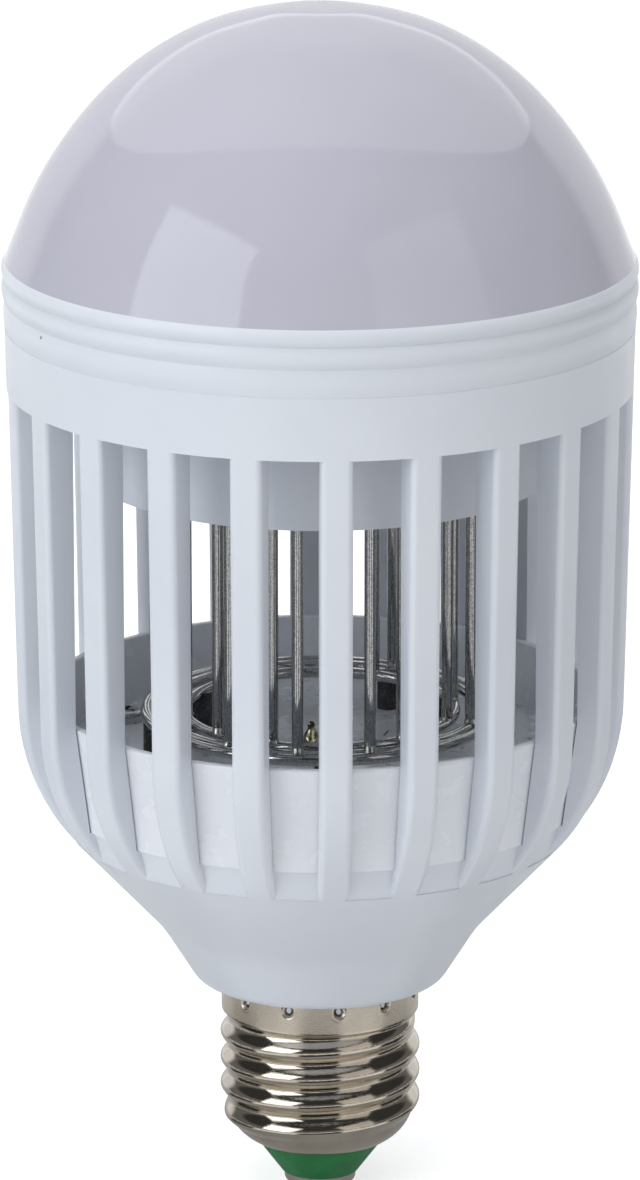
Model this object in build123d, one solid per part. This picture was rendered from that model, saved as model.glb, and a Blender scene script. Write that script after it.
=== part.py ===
from build123d import *
import math
import os

# Insect killer light bulb: a screw-in lamp with a milky light dome on top, a ribbed
# cage round an electric grid, a tray below the grid and a screw cap at the bottom.
# Millimetres. +Z runs up the lamp's axis, and z = 0 is the tip of the centre contact.
# Angles are in degrees round the axis, from +X towards +Y. The front is -Y.

# Heights, from the tip of the contact upwards
CONE_HEIGHT = 24.7
WAIST_RISE = 8.05
SHOULDER_RISE = 2.95
RIB_FADE = 4.3
TRAY_FLOOR_RISE = 5.7
TRAY_DEPTH = 8.3
RING_RISE = 5.55
OPEN_HEIGHT = 29.4
COLLAR_HEIGHT = 11.8
LIP_HEIGHT = 1.8
BAND_HEIGHT = 6.2
DOME_HEIGHT = 32.4

# Cage, outer profile: a side line, a shoulder arc, a cone, a waist arc and the neck
CAGE_TOP_R = 40.5
SIDE_TAPER = 1.15
SHOULDER_ARC = 27.0
NECK_OVERHANG = 3.05
NECK_FLARE = 5.0
WAIST_ARC = 18.0
NECK_ARC = 2.4
CAGE_WALL = 2.0
SHOULDER_LEAN = 0.4
WAIST_LEAN = 0.3

# Cage, ribs, band and ledge
RIB_COUNT = 22
RIB_WIDTH = 4.1
RIB_PHASE = -87.0
RIB_ARC = 0.8
RIB_DEPTH = 5.55
RIB_FADE_INSET = 1.3
RIB_ROOT = 1.5
BAND_WALL = 2.5
LIP_DEPTH = 1.7
LEDGE_DEPTH = 3.2
TRAY_GAP = 0.2

# Cage, neck and spigot
NECK_FLOOR = 1.8
SPIGOT_LENGTH = 3.9
SPIGOT_WALL = 1.6

# Dome
DOME_DEPTH = 63.3
DOME_POWER = 2.2
DOME_WALL = 1.7
DOME_SKIRT_WALL = 1.4
DOME_POINTS = 9

# Head ring: three rounded bands, a shelf for the light plate and a spigot in the cage
BAND_HEIGHTS = (3.6, 2.8, 2.3)
BAND_BULGES = (0.22, 0.42, 0.42)
BAND_INSET = 0.07
HEAD_WALL = 0.95
HEAD_SHELF_LEVEL = 3.3
HEAD_SHELF = 1.8
HEAD_SHELF_DEPTH = 4.98
HEAD_SPIGOT_WALL = 1.5
FIT_GAP = 0.1

# Light plate, board and diodes
LIGHT_PLATE_T = 1.5
LIGHT_PLATE_BORE_R = 4.0
LIGHT_BOARD_R = 33.0
LIGHT_BOARD_T = 1.2
LIGHT_CHIP = (3.5, 2.8, 0.8)
LIGHT_CIRCLES = ((27.5, 16), (17.0, 10), (7.0, 4))
LIGHT_SCREW_PCD_R = 22.2
LIGHT_SCREW_COUNT = 3

# Screws, pan head with a cross recess
SCREW_R = 1.25
SCREW_HEAD_R = 2.4
SCREW_HEAD = 1.5
SCREW_HEAD_ARC = 0.7
SCREW_LENGTH = 5.0
SCREW_CROSS = (3.0, 0.6, 0.8)
SCREW_GAP = 0.1

# Grid holder and high voltage board
HOLDER_R = 29.45
HOLDER_WALL = 1.6
HOLDER_RECESS = 2.5
HOLDER_FLOOR = 1.8
HOLDER_FLANGE = 1.8
GRID_BOARD_GAP = 0.3
GRID_BOARD_T = 1.6
ROD_STUB = 0.9
ROD_HOLE_GAP = 0.1

# Grid: rods butt-welded on rings. A slip turns one rod off its even place, and an
# empty place has no rod. Both go by the rod's number from the phase.
WIRE_R = 0.75
OUTER_RODS = 14
OUTER_ROD_R = 20.8
OUTER_ROD_PHASE = -97.9
OUTER_SLIPS = {5: 4.3, 6: 6.0, 9: -4.5}
INNER_RODS = 12
RING_STEP = 3.25
INNER_ROD_PHASE = -80.2
INNER_SLIPS = {1: -3.0, 5: -3.8, 10: 2.0}
INNER_EMPTY = (8,)
HOOP_GAP = 0.3
WELD_GAP = 0.02

# Posts under the rings
POST_R = 1.4
POST_COUNT = 3
POST_TOP = 0.2
OUTER_POST_PHASE = 65.6
INNER_POST_PHASE = 152.0
SADDLE_GAP = 0.05

# Tray
TRAY_OVERHANG = 0.4
TRAY_FLARE = 1.9
TRAY_WALL = 1.2
TRAY_FLOOR = 1.5
TRAY_RIM_ARC = 0.3
TRAY_SCREW_INSET = 4.8
TRAY_SCREW_PHASE = 151.5
TRAY_SCREW_COUNT = 2
TRAY_BOSS_R = 2.9

# Ultraviolet diode and its board
UV_X = -1.15
UV_R = 1.5
UV_FLANGE_R = 1.9
UV_FLANGE = 1.0
UV_HEIGHT = 5.6
UV_HOLE_GAP = 0.15
UV_BOARD_R = 7.5
UV_BOARD_T = 1.2
UV_LEAD_X = 3.0

# Driver board, its rails and its parts
DRIVER_BOARD = (25.0, 1.6, 21.0)
RAIL_GAP = 0.1
RAIL_WALL = 1.4
RAIL_GRIP = 1.4
RAIL_HEIGHT = 6.0
PART_LEVEL = 5.0
DRIVER_CORE = (11.0, 8.5, 10.5)
CORE_YOKE = 2.2
WINDING_ARC = 1.1
WINDING_GAP = 0.2
DRUM_R = 4.0
DRUM_ARC = 0.5
DRUM_LENGTH = 12.0
DRUM_X = -6.0
FILM_CAPACITOR = (8.0, 4.0, 7.0)
FILM_X = 5.5
RECTIFIER = (5.0, 2.4, 4.4)
RECTIFIER_LEVEL = 14.0

# High voltage parts
HV_CORE = (11.0, 10.0, 9.0)
HV_CORE_X = -6.5
HV_CAPACITOR = (9.5, 4.2, 8.0)
HV_CAPACITOR_X = 7.2
HV_CAPACITOR_COUNT = 3
HV_CAPACITOR_PITCH = 6.5

# Screw cap, size E27
CAP_CREST_R = 13.15
CAP_SKIRT_INSET = 0.17
CAP_SKIRT = 4.4
CAP_SHOULDER = 0.7
CAP_THREAD_DEPTH = 1.05
CAP_PITCH = 3.63
CAP_THREAD_ARC = 1.2
CAP_THREAD_TURNS = 3.7
CAP_THREAD_PHASE = 135.0
CAP_THREAD_START = -0.24
CAP_THREAD_END = 0.719
CAP_WALL = 0.4
CAP_HEEL = 3.62
CAP_HEEL_BEND = (2.75, 1.15)
DIMPLE_COUNT = 12
DIMPLE_PHASE = -78.9
DIMPLE_DROP = 1.3
DIMPLE_R = 0.7
DIMPLE_DEPTH = 0.22

# Insulator, contact, fuse resistor and leads
INSULATOR_FOOT_R = 5.1
INSULATOR_HEIGHT = 4.57
INSULATOR_PLUG = 2.4
CONTACT_INSET = 0.4
CONTACT_T = 1.6
CONTACT_ARC = 0.72
CONTACT_PIN_R = 1.6
CONTACT_PIN_TOP = 0.8
PIN_GAP = 0.05
FUSE_R = 1.9
FUSE_ARC = 0.6
FUSE_LENGTH = 9.0
FUSE_LEAD = 5.63
LEAD_R = 0.5
LEAD_BEND_R = 1.5
SHELL_LEAD_X = 6.5
SHELL_LEAD_DROP = 7.8
LIGHT_LEAD_X = 1.0
LIGHT_LEAD_Y = 1.3

# Margins of cuts and of the search for edges
OVERCUT = 1.0
EDGE_MARGIN = 0.5
NEAR = 0.01

# Levels that follow
CAP_RIM_Z = CONTACT_T + INSULATOR_HEIGHT
CAP_HEEL_Z = CAP_RIM_Z + CAP_HEEL
CAP_THREAD_Z = CAP_HEEL_Z + CAP_THREAD_START
CAP_SHOULDER_Z = CAP_THREAD_Z + CAP_PITCH * CAP_THREAD_TURNS + CAP_THREAD_END
NECK_Z = CAP_SHOULDER_Z + CAP_SHOULDER + CAP_SKIRT
WAIST_Z = NECK_Z + WAIST_RISE
LEDGE_Z = NECK_Z + CONE_HEIGHT
RIB_FADE_Z = LEDGE_Z - RIB_FADE
SHOULDER_Z = LEDGE_Z + SHOULDER_RISE
TRAY_FLOOR_Z = LEDGE_Z + TRAY_FLOOR_RISE
TRAY_RIM_Z = TRAY_FLOOR_Z + TRAY_DEPTH
RING_Z = TRAY_FLOOR_Z + RING_RISE
HOLDER_Z = TRAY_RIM_Z + OPEN_HEIGHT
SLOT_TOP_Z = HOLDER_Z + COLLAR_HEIGHT
FLANGE_Z = SLOT_TOP_Z + LIP_HEIGHT
CAGE_TOP_Z = FLANGE_Z + BAND_HEIGHT
NECK_FLOOR_Z = NECK_Z + NECK_FLOOR
DOME_SEAM_Z = CAGE_TOP_Z + sum(BAND_HEIGHTS)
APEX_Z = DOME_SEAM_Z + DOME_HEIGHT
SHELF_Z = CAGE_TOP_Z + HEAD_SHELF_LEVEL
PLATE_TOP_Z = SHELF_Z + LIGHT_PLATE_T
LIGHT_BOARD_TOP_Z = PLATE_TOP_Z + LIGHT_BOARD_T
FLANGE_TOP_Z = FLANGE_Z + HOLDER_FLANGE
HOLDER_FLOOR_TOP_Z = HOLDER_Z + HOLDER_RECESS + HOLDER_FLOOR
GRID_BOARD_TOP_Z = HOLDER_FLOOR_TOP_Z + GRID_BOARD_T
ROD_TOP_Z = GRID_BOARD_TOP_Z + ROD_STUB
ROD_FOOT_Z = RING_Z + WIRE_R + WELD_GAP
TRAY_UNDER_Z = TRAY_FLOOR_Z - TRAY_FLOOR
UV_BOARD_Z = TRAY_UNDER_Z - UV_BOARD_T
DRIVER_TOP_Z = NECK_FLOOR_Z + DRIVER_BOARD[2]
SHELL_LEAD_Z = NECK_Z - SHELL_LEAD_DROP
INSULATOR_TOP_Z = CAP_RIM_Z + INSULATOR_PLUG
PIN_TOP_Z = INSULATOR_TOP_Z + CONTACT_PIN_TOP
FUSE_Z = PIN_TOP_Z + FUSE_LEAD

# Radii that follow
SHOULDER_R = CAGE_TOP_R - SIDE_TAPER
LEDGE_R = SHOULDER_R - RIB_DEPTH
RIB_FADE_R = LEDGE_R - RIB_FADE_INSET
TRAY_FOOT_R = LEDGE_R + TRAY_OVERHANG
TRAY_RIM_R = TRAY_FOOT_R + TRAY_FLARE
TRAY_SCREW_PCD_R = TRAY_FOOT_R - TRAY_SCREW_INSET
NECK_R = CAP_CREST_R + NECK_OVERHANG
WAIST_R = NECK_R + NECK_FLARE
BAND_GROOVE_R = CAGE_TOP_R - BAND_INSET
BAND_INNER_R = CAGE_TOP_R - BAND_WALL
LIP_INNER_R = BAND_INNER_R - LIP_DEPTH
LEDGE_INNER_R = LEDGE_R - LEDGE_DEPTH
HEAD_BORE_R = BAND_GROOVE_R - HEAD_WALL
HEAD_SHELF_R = HEAD_BORE_R - HEAD_SHELF_DEPTH
SKIRT_R = HEAD_BORE_R - FIT_GAP
PLUG_R = BAND_INNER_R - FIT_GAP
INNER_ROD_R = OUTER_ROD_R - RING_STEP
HOOP_R = OUTER_ROD_R + 2 * WIRE_R + HOOP_GAP
CAP_ROOT_R = CAP_CREST_R - CAP_THREAD_DEPTH
CAP_SKIRT_R = CAP_CREST_R - CAP_SKIRT_INSET
CAP_RIM_R = CAP_ROOT_R - CAP_HEEL
CONTACT_R = INSULATOR_FOOT_R - CONTACT_INSET
CAP_SKIRT_BORE_R = CAP_SKIRT_R - CAP_WALL
CAP_ROOT_BORE_R = CAP_ROOT_R - CAP_WALL
CAP_MOUTH_R = CAP_RIM_R - CAP_WALL
SPIGOT_R = CAP_SKIRT_BORE_R - FIT_GAP
SPIGOT_BORE_R = SPIGOT_R - SPIGOT_WALL

STAND = (Align.CENTER, Align.CENTER, Align.MIN)


def polar(radius, angle):
    """Point of the plan at a radius and an angle round the axis."""
    a = math.radians(angle)
    return (radius * math.cos(a), radius * math.sin(a))


def angles(count, phase):
    """Evenly spaced angles round the axis."""
    return [phase + 360.0 * i / count for i in range(count)]


def pin(radius, centre, low, high):
    """Upright cylinder at a point of the plan, between two levels."""
    return Pos(centre[0], centre[1], low) * Cylinder(radius, high - low, align=STAND)


def disc(radius, low, high):
    """Cylinder on the axis between two levels."""
    return pin(radius, (0, 0), low, high)


def tube(outer, inner, low, high):
    """Ring on the axis between two levels."""
    return disc(outer, low, high) - disc(inner, low, high)


def block(size, x, y, z):
    """Box that stands with the middle of its foot on a point."""
    return Pos(x, y, z) * Box(*size, align=STAND)


def circle_of_pins(radius, pcd_r, count, phase, low, high):
    """Upright cylinders spaced evenly on a circle."""
    return [pin(radius, polar(pcd_r, a), low, high) for a in angles(count, phase)]


def at(r, z):
    """Point of the turned outlines, at a radius and a level."""
    return (r, 0, z)


def turned(edges):
    """Solid of revolution from the joined edges of a closed outline."""
    return revolve(make_face(edges), Axis.Z, 360)


def turned_corners(corners):
    """Solid of revolution from the corners (r, z) of a closed outline."""
    return turned(Polyline([at(r, z) for r, z in corners], close=True).edges())


def group(solids):
    """Several separate solids kept as one node."""
    return Compound(children=list(solids))


# Cage


def cage_body(inset=0.0):
    """Filled body of the cage's outer profile, or of that profile moved inwards."""
    corners = [
        at(CAGE_TOP_R - inset, CAGE_TOP_Z),
        at(SHOULDER_R - inset, SHOULDER_Z + SHOULDER_LEAN * inset),
        at(WAIST_R - inset, WAIST_Z + WAIST_LEAN * inset),
        at(NECK_R - inset, NECK_Z),
    ]
    side = FilletPolyline(corners, radius=[SHOULDER_ARC - inset, WAIST_ARC + inset])
    top = Line(corners[0], at(0, CAGE_TOP_Z))
    axis = Line(at(0, CAGE_TOP_Z), at(0, NECK_Z))
    floor = Line(at(0, NECK_Z), corners[-1])
    return turned([*side.edges(), top, axis, floor])


def make_rib():
    """One rib at the angle 0, its inner face along the tray and its outer edges rounded."""
    length = SLOT_TOP_Z - RIB_FADE_Z
    slab = Pos(0, 0, RIB_FADE_Z) * Box(
        2 * CAGE_TOP_R, RIB_WIDTH, length, align=(Align.MIN, Align.CENTER, Align.MIN)
    )
    root_r = LEDGE_R - RIB_ROOT
    inside = turned_corners(
        [
            (0, RIB_FADE_Z - OVERCUT),
            (root_r - RIB_FADE_INSET, RIB_FADE_Z - OVERCUT),
            (root_r, LEDGE_Z),
            (TRAY_FOOT_R + TRAY_GAP, LEDGE_Z),
            (TRAY_RIM_R + TRAY_GAP, TRAY_RIM_Z),
            (LIP_INNER_R, TRAY_RIM_Z + OVERCUT),
            (LIP_INNER_R, SLOT_TOP_Z + OVERCUT),
            (0, SLOT_TOP_Z + OVERCUT),
        ]
    )
    rib = (cage_body() & slab) - inside
    half = RIB_WIDTH / 2
    reach = TRAY_RIM_R + TRAY_GAP + EDGE_MARGIN
    sides = [e for e in rib.edges() if abs(abs(e.center().Y) - half) < NEAR]
    upright = [e for e in sides if RIB_FADE_Z + NEAR < e.center().Z < SLOT_TOP_Z - NEAR]
    outer = [e for e in upright if math.hypot(e.center().X, e.center().Y) > reach]
    return fillet(outer, RIB_ARC)


def make_cup():
    """The lower part of the cage: strip, ledge, cone, neck and spigot."""
    below = turned_corners(
        [
            (0, NECK_Z),
            (2 * CAGE_TOP_R, NECK_Z),
            (2 * CAGE_TOP_R, RIB_FADE_Z),
            (RIB_FADE_R, RIB_FADE_Z),
            (LEDGE_R, LEDGE_Z),
            (0, LEDGE_Z),
        ]
    )
    cup = cage_body() & below
    room = cage_body(CAGE_WALL) & disc(CAGE_TOP_R, NECK_FLOOR_Z, LEDGE_Z - CAGE_WALL)
    cup = cup - room - disc(LEDGE_INNER_R, LEDGE_Z - CAGE_WALL, LEDGE_Z)
    rims = [e for e in cup.edges().filter_by(GeomType.CIRCLE) if abs(e.center().Z - NECK_Z) < NEAR]
    cup = fillet([e for e in rims if abs(e.radius - NECK_R) < NEAR], NECK_ARC)
    spigot = disc(SPIGOT_R, NECK_Z - SPIGOT_LENGTH, NECK_FLOOR_Z)
    return (cup + spigot) - disc(SPIGOT_BORE_R, NECK_Z - SPIGOT_LENGTH, NECK_FLOOR_Z)


def make_rail():
    """Guide of the driver board, at its +X edge."""
    half = DRIVER_BOARD[0] / 2
    slot = DRIVER_BOARD[1] + 2 * RAIL_GAP
    size = (RAIL_GRIP + RAIL_GAP + RAIL_WALL, slot + 2 * RAIL_WALL, RAIL_HEIGHT)
    rail = block(size, half - RAIL_GRIP + size[0] / 2, 0, NECK_FLOOR_Z)
    return rail - block((2 * (RAIL_GRIP + RAIL_GAP), slot, RAIL_HEIGHT), half - RAIL_GRIP, 0, NECK_FLOOR_Z)


def tray_bosses():
    """Bosses under the tray floor that take the tray screws."""
    bosses = circle_of_pins(
        TRAY_BOSS_R, TRAY_SCREW_PCD_R, TRAY_SCREW_COUNT, TRAY_SCREW_PHASE, NECK_FLOOR_Z, TRAY_UNDER_Z
    )
    return [boss & cage_body(CAGE_WALL / 2) for boss in bosses]


def make_cage():
    """The cage: top band, lip, ribs, cone, neck and spigot in one moulding."""
    body = cage_body()
    band = body & tube(2 * CAGE_TOP_R, BAND_INNER_R, FLANGE_Z, CAGE_TOP_Z)
    lip = body & tube(2 * CAGE_TOP_R, LIP_INNER_R, SLOT_TOP_Z, FLANGE_Z)
    rib = make_rib()
    ribs = [Rot(0, 0, a) * rib for a in angles(RIB_COUNT, RIB_PHASE)]
    rail = make_rail()
    cage = (band + lip).fuse(make_cup(), *ribs, *tray_bosses(), rail, Rot(0, 0, 180) * rail)
    bores = circle_of_pins(
        SCREW_R + SCREW_GAP / 2,
        TRAY_SCREW_PCD_R,
        TRAY_SCREW_COUNT,
        TRAY_SCREW_PHASE,
        TRAY_FLOOR_Z - SCREW_LENGTH - SCREW_GAP,
        TRAY_UNDER_Z,
    )
    return cage - bores


# Head


def dome_curve(seam_r, apex_z):
    """Outline of the dome from the seam to the apex: a rounded square ellipse."""
    centre_z = apex_z - DOME_DEPTH
    share = (DOME_SEAM_Z - centre_z) / DOME_DEPTH
    wide_r = seam_r / (1 - share**DOME_POWER) ** (1 / DOME_POWER)
    start = math.asin(share ** (DOME_POWER / 2))
    points = []
    for i in range(DOME_POINTS):
        t = start + (math.pi / 2 - start) * i / (DOME_POINTS - 1)
        r = wide_r * max(math.cos(t), 0) ** (2 / DOME_POWER)
        points.append(at(r, centre_z + DOME_DEPTH * math.sin(t) ** (2 / DOME_POWER)))
    points[-1] = at(0, apex_z)
    slope = (points[1][0] - points[0][0], 0, points[1][2] - points[0][2])
    return Spline(points, tangents=[slope, (-1, 0, 0)])


def make_dome():
    """Milky dome with a skirt that stands on the light plate."""
    skirt_bore = SKIRT_R - DOME_SKIRT_WALL
    outer = dome_curve(BAND_GROOVE_R, APEX_Z)
    inner = dome_curve(skirt_bore, APEX_Z - DOME_WALL)
    apex = Line(at(0, APEX_Z), at(0, APEX_Z - DOME_WALL))
    skirt = Polyline(
        at(skirt_bore, DOME_SEAM_Z),
        at(skirt_bore, PLATE_TOP_Z),
        at(SKIRT_R, PLATE_TOP_Z),
        at(SKIRT_R, DOME_SEAM_Z),
        at(BAND_GROOVE_R, DOME_SEAM_Z),
    )
    return turned([outer, apex, inner, *skirt.edges()])


def make_head_ring():
    """Ring with three rounded bands outside, a shelf inside and a spigot below."""
    edges = []
    level = CAGE_TOP_Z
    for height, bulge in zip(BAND_HEIGHTS, BAND_BULGES):
        middle = at(BAND_GROOVE_R + bulge, level + height / 2)
        edges.append(ThreePointArc(at(BAND_GROOVE_R, level), middle, at(BAND_GROOVE_R, level + height)))
        level += height
    inside = Polyline(
        at(BAND_GROOVE_R, DOME_SEAM_Z),
        at(HEAD_BORE_R, DOME_SEAM_Z),
        at(HEAD_BORE_R, SHELF_Z),
        at(HEAD_SHELF_R, SHELF_Z),
        at(HEAD_SHELF_R, SHELF_Z - HEAD_SHELF),
        at(PLUG_R - HEAD_SPIGOT_WALL, SHELF_Z - HEAD_SHELF),
        at(PLUG_R - HEAD_SPIGOT_WALL, FLANGE_TOP_Z),
        at(PLUG_R, FLANGE_TOP_Z),
        at(PLUG_R, CAGE_TOP_Z),
        at(BAND_GROOVE_R, CAGE_TOP_Z),
    )
    return turned([*edges, *inside.edges()])


def light_screw_bores(low, high):
    """Clearance holes of the light screws."""
    return circle_of_pins(SCREW_R + SCREW_GAP, LIGHT_SCREW_PCD_R, LIGHT_SCREW_COUNT, 0, low, high)


def make_light_plate():
    """Aluminium plate that spreads the heat of the light board."""
    plate = tube(SKIRT_R, LIGHT_PLATE_BORE_R, SHELF_Z, PLATE_TOP_Z)
    return plate - light_screw_bores(SHELF_Z, PLATE_TOP_Z)


def make_light_board():
    """Round board of the white light diodes."""
    board = disc(LIGHT_BOARD_R, PLATE_TOP_Z, LIGHT_BOARD_TOP_Z)
    return board - light_screw_bores(PLATE_TOP_Z, LIGHT_BOARD_TOP_Z)


def make_light_diodes():
    """White light diodes in rings on the light board."""
    chips = []
    for radius, count in LIGHT_CIRCLES:
        step = 180.0 / count
        for angle in angles(count, step):
            chips.append(Rot(0, 0, angle) * block(LIGHT_CHIP, radius, 0, LIGHT_BOARD_TOP_Z))
    return group(chips)


def make_screw():
    """Pan head screw, the underside of its head at z = 0."""
    head = fillet(disc(SCREW_HEAD_R, 0, SCREW_HEAD).edges().group_by(Axis.Z)[-1], SCREW_HEAD_ARC)
    screw = head + disc(SCREW_R, -SCREW_LENGTH, 0)
    across, width, depth = SCREW_CROSS
    screw = screw - block((across, width, depth), 0, 0, SCREW_HEAD - depth)
    return screw - block((width, across, depth), 0, 0, SCREW_HEAD - depth)


def screw_circle(pcd_r, count, phase, level):
    """Screws spaced evenly on a circle, their heads on one level."""
    screw = make_screw()
    return group([Pos(*polar(pcd_r, a), level) * Rot(0, 0, a) * screw for a in angles(count, phase)])


# Grid


def outer_pins(radius, low, high):
    """Upright cylinders at the places of the outer rods."""
    places = enumerate(angles(OUTER_RODS, OUTER_ROD_PHASE))
    return [pin(radius, polar(OUTER_ROD_R, a + OUTER_SLIPS.get(i, 0)), low, high) for i, a in places]


def inner_pins(radius, low, high):
    """Upright cylinders at the places of the inner rods."""
    places = [p for p in enumerate(angles(INNER_RODS, INNER_ROD_PHASE)) if p[0] not in INNER_EMPTY]
    return [pin(radius, polar(INNER_ROD_R, a + INNER_SLIPS.get(i, 0)), low, high) for i, a in places]


def rod_bores(low, high):
    """Holes for all rods through a plate."""
    radius = WIRE_R + ROD_HOLE_GAP
    return outer_pins(radius, low, high) + inner_pins(radius, low, high)


def make_grid_holder():
    """Collar with a flange in the cage's band and a floor that the rods pass."""
    bore = HOLDER_R - HOLDER_WALL
    floor_z = HOLDER_Z + HOLDER_RECESS
    holder = turned_corners(
        [
            (bore, HOLDER_Z),
            (HOLDER_R, HOLDER_Z),
            (HOLDER_R, FLANGE_Z),
            (PLUG_R, FLANGE_Z),
            (PLUG_R, FLANGE_TOP_Z),
            (bore, FLANGE_TOP_Z),
            (bore, HOLDER_FLOOR_TOP_Z),
            (0, HOLDER_FLOOR_TOP_Z),
            (0, floor_z),
            (bore, floor_z),
        ]
    )
    return holder - rod_bores(floor_z, HOLDER_FLOOR_TOP_Z)


def make_grid_board():
    """High voltage board on the holder's floor."""
    board = disc(HOLDER_R - HOLDER_WALL - GRID_BOARD_GAP, HOLDER_FLOOR_TOP_Z, GRID_BOARD_TOP_Z)
    return board - rod_bores(HOLDER_FLOOR_TOP_Z, GRID_BOARD_TOP_Z)


def wire_ring(radius, wire_r=WIRE_R):
    """Ring of round wire at the level of the electrode rings."""
    return Pos(0, 0, RING_Z) * Torus(radius, wire_r)


def ring_posts(pcd_r, phase, rings):
    """Posts from the tray floor up to the rings, with a saddle for each ring."""
    posts = circle_of_pins(POST_R, pcd_r, POST_COUNT, phase, TRAY_FLOOR_Z, RING_Z + POST_TOP)
    return group([post - [wire_ring(r, WIRE_R + SADDLE_GAP) for r in rings] for post in posts])


# Tray and ultraviolet diode


def tray_wall_r(z):
    """Outer radius of the tray wall at a level."""
    return TRAY_FOOT_R + (TRAY_RIM_R - TRAY_FOOT_R) * (z - LEDGE_Z) / (TRAY_RIM_Z - LEDGE_Z)


def make_tray():
    """Tapered cup with a skirt below its floor, a hole for the diode and screw holes."""
    tray = turned_corners(
        [
            (TRAY_RIM_R, TRAY_RIM_Z),
            (TRAY_RIM_R - TRAY_WALL, TRAY_RIM_Z),
            (tray_wall_r(TRAY_FLOOR_Z) - TRAY_WALL, TRAY_FLOOR_Z),
            (0, TRAY_FLOOR_Z),
            (0, TRAY_UNDER_Z),
            (tray_wall_r(TRAY_UNDER_Z) - TRAY_WALL, TRAY_UNDER_Z),
            (TRAY_FOOT_R - TRAY_WALL, LEDGE_Z),
            (TRAY_FOOT_R, LEDGE_Z),
        ]
    )
    tray = fillet(tray.edges().group_by(Axis.Z)[-1], TRAY_RIM_ARC)
    bores = circle_of_pins(
        SCREW_R + SCREW_GAP,
        TRAY_SCREW_PCD_R,
        TRAY_SCREW_COUNT,
        TRAY_SCREW_PHASE,
        TRAY_UNDER_Z,
        TRAY_FLOOR_Z,
    )
    return tray - bores - pin(UV_FLANGE_R + UV_HOLE_GAP, (UV_X, 0), TRAY_UNDER_Z, TRAY_FLOOR_Z)


def make_uv_diode():
    """Small round-topped diode with a flange."""
    top = TRAY_UNDER_Z + UV_HEIGHT
    body = pin(UV_R, (UV_X, 0), TRAY_UNDER_Z, top - UV_R) + Pos(UV_X, 0, top - UV_R) * Sphere(UV_R)
    return body + pin(UV_FLANGE_R, (UV_X, 0), TRAY_UNDER_Z, TRAY_UNDER_Z + UV_FLANGE)


# Boards and their parts


def framed_core(size):
    """Ferrite frame of a transformer at the origin, open along Y, with its centre leg."""
    width, depth, height = size
    window = (width - 2 * CORE_YOKE, depth, height - 2 * CORE_YOKE)
    leg = block((CORE_YOKE, CORE_YOKE, window[2]), 0, 0, CORE_YOKE)
    return block(size, 0, 0, 0) - block(window, 0, 0, CORE_YOKE) + leg


def core_winding(size):
    """Winding that fills the window of a transformer core."""
    width, depth, height = size
    space = (
        width - 2 * CORE_YOKE - 2 * WINDING_GAP,
        depth,
        height - 2 * CORE_YOKE - 2 * WINDING_GAP,
    )
    winding = block(space, 0, 0, CORE_YOKE + WINDING_GAP)
    bore = CORE_YOKE + 2 * PIN_GAP
    winding = fillet(winding.edges().filter_by(Axis.Z), WINDING_ARC)
    return winding - block((bore, bore, height), 0, 0, 0)


def on_driver(side, depth, x, level):
    """Place on a face of the driver board, for a part of a given depth."""
    y = side * (DRIVER_BOARD[1] + depth) / 2
    return Pos(x, y, NECK_FLOOR_Z + level)


def driver_parts():
    """Driver board and what is mounted on it."""
    drum = disc(DRUM_R, 0, DRUM_LENGTH)
    return {
        "driver_board": block(DRIVER_BOARD, 0, 0, NECK_FLOOR_Z),
        "driver_core": on_driver(1, DRIVER_CORE[1], 0, PART_LEVEL) * framed_core(DRIVER_CORE),
        "driver_winding": on_driver(1, DRIVER_CORE[1], 0, PART_LEVEL) * core_winding(DRIVER_CORE),
        "electrolytic_capacitor": on_driver(-1, 2 * DRUM_R + 2 * PIN_GAP, DRUM_X, PART_LEVEL)
        * fillet(drum.edges().filter_by(GeomType.CIRCLE), DRUM_ARC),
        "film_capacitor": on_driver(-1, FILM_CAPACITOR[1], FILM_X, PART_LEVEL)
        * block(FILM_CAPACITOR, 0, 0, 0),
        "rectifier": on_driver(-1, RECTIFIER[1], FILM_X, RECTIFIER_LEVEL) * block(RECTIFIER, 0, 0, 0),
    }


def grid_board_parts():
    """High voltage parts on the board over the grid."""
    place = Pos(HV_CORE_X, 0, GRID_BOARD_TOP_Z)
    middle = (HV_CAPACITOR_COUNT - 1) / 2
    rows = [(i - middle) * HV_CAPACITOR_PITCH for i in range(HV_CAPACITOR_COUNT)]
    return {
        "hv_core": place * framed_core(HV_CORE),
        "hv_winding": place * core_winding(HV_CORE),
        "hv_capacitors": group([block(HV_CAPACITOR, HV_CAPACITOR_X, y, GRID_BOARD_TOP_Z) for y in rows]),
    }


# Screw cap


def shell_outline(inset):
    """Outline of the cap shell from the mouth of its rim to its top, moved inwards."""
    skirt_r = CAP_SKIRT_R - inset
    root_r = CAP_ROOT_R - inset
    rim = at(CAP_RIM_R - inset, CAP_RIM_Z)
    heel = at(root_r, CAP_HEEL_Z)
    out, up = CAP_HEEL_BEND
    bend = at(CAP_RIM_R + out - inset, CAP_RIM_Z + up + inset / 2)
    curve = Bezier(rim, bend, heel)
    wall = Polyline(
        heel,
        at(root_r, CAP_SHOULDER_Z),
        at(skirt_r, NECK_Z - CAP_SKIRT),
        at(skirt_r, NECK_Z),
    )
    return [curve, *wall.edges()]


def make_thread():
    """Rounded helical ridge of the cap's thread."""
    height = CAP_PITCH * CAP_THREAD_TURNS
    path_r = CAP_CREST_R - CAP_THREAD_ARC
    path = Helix(CAP_PITCH, height, path_r)
    section = Plane(origin=path @ 0, z_dir=path % 0) * Circle(CAP_THREAD_ARC)
    ridge = sweep(section, path=path, is_frenet=True)
    ridge = Pos(0, 0, CAP_THREAD_Z) * Rot(0, 0, CAP_THREAD_PHASE) * ridge
    return ridge - disc(CAP_ROOT_R - CAP_WALL / 2, 0, NECK_Z)


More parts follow.
